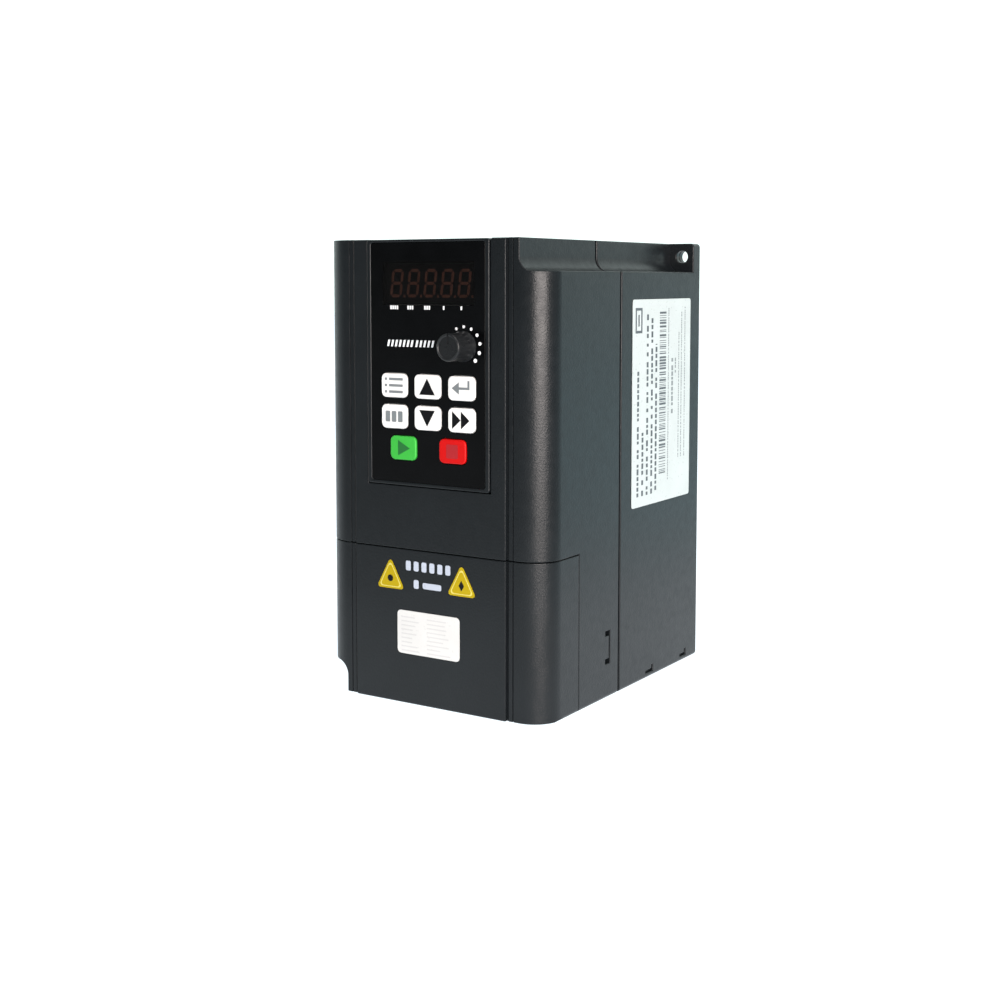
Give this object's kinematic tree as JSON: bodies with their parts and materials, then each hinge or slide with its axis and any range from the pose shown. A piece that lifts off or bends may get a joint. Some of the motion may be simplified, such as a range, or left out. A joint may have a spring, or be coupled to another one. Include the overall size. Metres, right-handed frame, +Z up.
{
  "type": "variable frequency drive",
  "caption": "Compact wall-mounted variable frequency drive: charcoal case with diagonal fixing ears, front keypad with display and knob, pull-off terminal cover and bottom fan.",
  "frame": {"origin": "centre of the back mounting face, at mid-height", "axes": "+X right seen from the front, +Y into the wall, -Y out of the front, +Z up"},
  "size_m": [0.0977, 0.1335, 0.17],
  "materials": {
    "charcoal_plastic": "fine moulded texture, charcoal",
    "gloss_black": "glossy black overlay",
    "smoked_window": "smoked window",
    "white_key": "satin white",
    "green_key": "satin green",
    "red_key": "satin red",
    "black_plastic": "satin black",
    "black_component": "epoxy black",
    "relay_case": "moulded white",
    "light_bar": "translucent white",
    "circuit_board": "green solder mask",
    "terminal_plastic": "dark green moulding",
    "capacitor_sleeve": "dark blue sleeve",
    "aluminium": "extruded",
    "plated_steel": "zinc plated",
    "brass": "turned",
    "white_label": "printed film",
    "yellow_label": "printed film"
  },
  "bodies": {
    "chassis": {"rear_housing": "charcoal_plastic", "middle_housing": "charcoal_plastic", "heatsink": "aluminium", "power_module": "black_component", "module_screw_left": "plated_steel", "module_screw_right": "plated_steel", "board_spacer_lower_left": "brass", "board_spacer_lower_right": "brass", "board_spacer_upper_left": "brass", "board_spacer_upper_right": "brass", "power_board": "circuit_board", "dc_capacitor_left": "capacitor_sleeve", "dc_capacitor_right": "capacitor_sleeve", "transformer": "black_component", "relay": "relay_case", "main_terminal_block": "terminal_plastic", "terminal_screw_1": "plated_steel", "terminal_screw_2": "plated_steel", "terminal_screw_3": "plated_steel", "terminal_screw_4": "plated_steel", "terminal_screw_5": "plated_steel", "terminal_screw_6": "plated_steel", "control_board": "circuit_board", "control_terminal_block": "terminal_plastic", "keypad_socket": "black_component", "rating_label": "white_label"},
    "terminal_cover": {"terminal_cover": "charcoal_plastic", "front_label": "white_label", "warning_triangle_left": "yellow_label", "warning_triangle_right": "yellow_label"},
    "keypad": {"keypad_frame": "charcoal_plastic", "keypad_faceplate": "gloss_black", "display_window": "smoked_window", "display_module": "black_component", "status_light_bar": "light_bar", "keypad_circuit_board": "circuit_board", "keypad_back_cover": "charcoal_plastic", "keypad_plug": "black_component", "potentiometer_body": "black_component", "program_switch": "black_component", "up_switch": "black_component", "enter_switch": "black_component", "function_switch": "black_component", "down_switch": "black_component", "shift_switch": "black_component", "run_switch": "black_component", "stop_switch": "black_component"},
    "program_key": {"program_key": "white_key"},
    "up_key": {"up_key": "white_key"},
    "enter_key": {"enter_key": "white_key"},
    "function_key": {"function_key": "white_key"},
    "down_key": {"down_key": "white_key"},
    "shift_key": {"shift_key": "white_key"},
    "run_key": {"run_key": "green_key"},
    "stop_key": {"stop_key": "red_key"},
    "knob": {"potentiometer_knob": "black_plastic", "potentiometer_shaft": "plated_steel"},
    "fan_module": {"fan_cover": "charcoal_plastic", "fan_frame": "black_plastic"},
    "fan_rotor": {"fan_rotor": "black_plastic"}
  },
  "joints": [
    {"name": "terminal_cover_slide", "type": "slide", "parent": "chassis", "child": "terminal_cover", "axis": [0, -1, 0], "range_m": [0, 0.04]},
    {"name": "keypad_slide", "type": "slide", "parent": "chassis", "child": "keypad", "axis": [0, -1, 0], "range_m": [0, 0.03]},
    {"name": "fan_module_slide", "type": "slide", "parent": "chassis", "child": "fan_module", "axis": [0, 0, -1], "range_m": [0, 0.03]},
    {"name": "fan_spin", "type": "hinge", "parent": "fan_module", "child": "fan_rotor", "pos_m": [0.005, -0.027, -0.0755], "axis": [0, 0, 1], "continuous": true},
    {"name": "knob_turn", "type": "hinge", "parent": "keypad", "child": "knob", "pos_m": [0.0159, -0.1236, 0.0471], "axis": [0, 1, 0], "range_deg": [-135, 135]},
    {"name": "program_key_press", "type": "slide", "parent": "keypad", "child": "program_key", "axis": [0, 1, 0], "range_m": [0, 0.0008], "stiffness_N_per_m": 1500},
    {"name": "up_key_press", "type": "slide", "parent": "keypad", "child": "up_key", "axis": [0, 1, 0], "range_m": [0, 0.0008], "stiffness_N_per_m": 1500},
    {"name": "enter_key_press", "type": "slide", "parent": "keypad", "child": "enter_key", "axis": [0, 1, 0], "range_m": [0, 0.0008], "stiffness_N_per_m": 1500},
    {"name": "function_key_press", "type": "slide", "parent": "keypad", "child": "function_key", "axis": [0, 1, 0], "range_m": [0, 0.0008], "stiffness_N_per_m": 1500},
    {"name": "down_key_press", "type": "slide", "parent": "keypad", "child": "down_key", "axis": [0, 1, 0], "range_m": [0, 0.0008], "stiffness_N_per_m": 1500},
    {"name": "shift_key_press", "type": "slide", "parent": "keypad", "child": "shift_key", "axis": [0, 1, 0], "range_m": [0, 0.0008], "stiffness_N_per_m": 1500},
    {"name": "run_key_press", "type": "slide", "parent": "keypad", "child": "run_key", "axis": [0, 1, 0], "range_m": [0, 0.0008], "stiffness_N_per_m": 1500},
    {"name": "stop_key_press", "type": "slide", "parent": "keypad", "child": "stop_key", "axis": [0, 1, 0], "range_m": [0, 0.0008], "stiffness_N_per_m": 1500}
  ]
}
